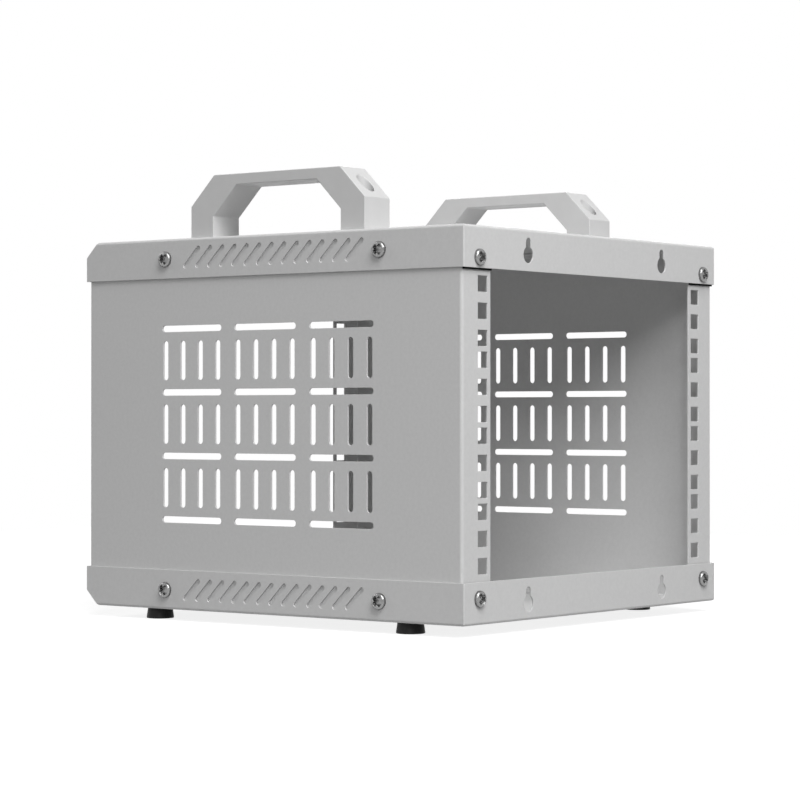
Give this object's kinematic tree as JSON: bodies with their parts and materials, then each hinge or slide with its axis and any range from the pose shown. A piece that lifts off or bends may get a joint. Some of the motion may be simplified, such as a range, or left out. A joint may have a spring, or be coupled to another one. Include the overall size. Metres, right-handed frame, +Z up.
{
  "type": "open-frame rack",
  "caption": "Open-frame desktop rack of folded sheet steel: vented side panels with square-hole rails, wrap-round covers with keyholes, carry handles on top and rubber feet.",
  "frame": {"origin": "on the floor under the middle of the rack", "axes": "+Z up, the front with the keyholes faces -Y, +X to the right seen from the front"},
  "size_m": [0.2854, 0.308, 0.2792],
  "materials": {
    "powder_coat": "fine-textured light grey powder coat, semi-matt",
    "handle_plastic": "light grey moulded plastic, satin",
    "rubber": "black rubber, matt",
    "foam": "black closed-cell foam",
    "plated_steel": "bright zinc-plated steel"
  },
  "bodies": {
    "root": {"left_side_panel": "powder_coat", "right_side_panel": "powder_coat", "top_cover": "powder_coat", "bottom_cover": "powder_coat", "left_handle": "handle_plastic", "right_handle": "handle_plastic", "front_left_foot": "rubber", "front_right_foot": "rubber", "rear_left_foot": "rubber", "rear_right_foot": "rubber", "top_front_left_pad": "foam", "top_front_right_pad": "foam", "top_rear_left_pad": "foam", "top_rear_right_pad": "foam", "bottom_front_left_pad": "foam", "bottom_front_right_pad": "foam", "bottom_rear_left_pad": "foam", "bottom_rear_right_pad": "foam", "top_left_screws": "plated_steel", "top_right_screws": "plated_steel", "top_front_screws": "plated_steel", "top_rear_screws": "plated_steel", "bottom_left_screws": "plated_steel", "bottom_right_screws": "plated_steel", "bottom_front_screws": "plated_steel", "bottom_rear_screws": "plated_steel", "left_handle_screws": "plated_steel", "right_handle_screws": "plated_steel", "top_left_nuts": "plated_steel", "top_right_nuts": "plated_steel", "top_front_nuts": "plated_steel", "top_rear_nuts": "plated_steel", "bottom_left_nuts": "plated_steel", "bottom_right_nuts": "plated_steel", "bottom_front_nuts": "plated_steel", "bottom_rear_nuts": "plated_steel", "left_handle_nuts": "plated_steel", "right_handle_nuts": "plated_steel", "foot_screws": "plated_steel", "foot_washers": "plated_steel", "foot_nuts": "plated_steel"}
  },
  "joints": []
}
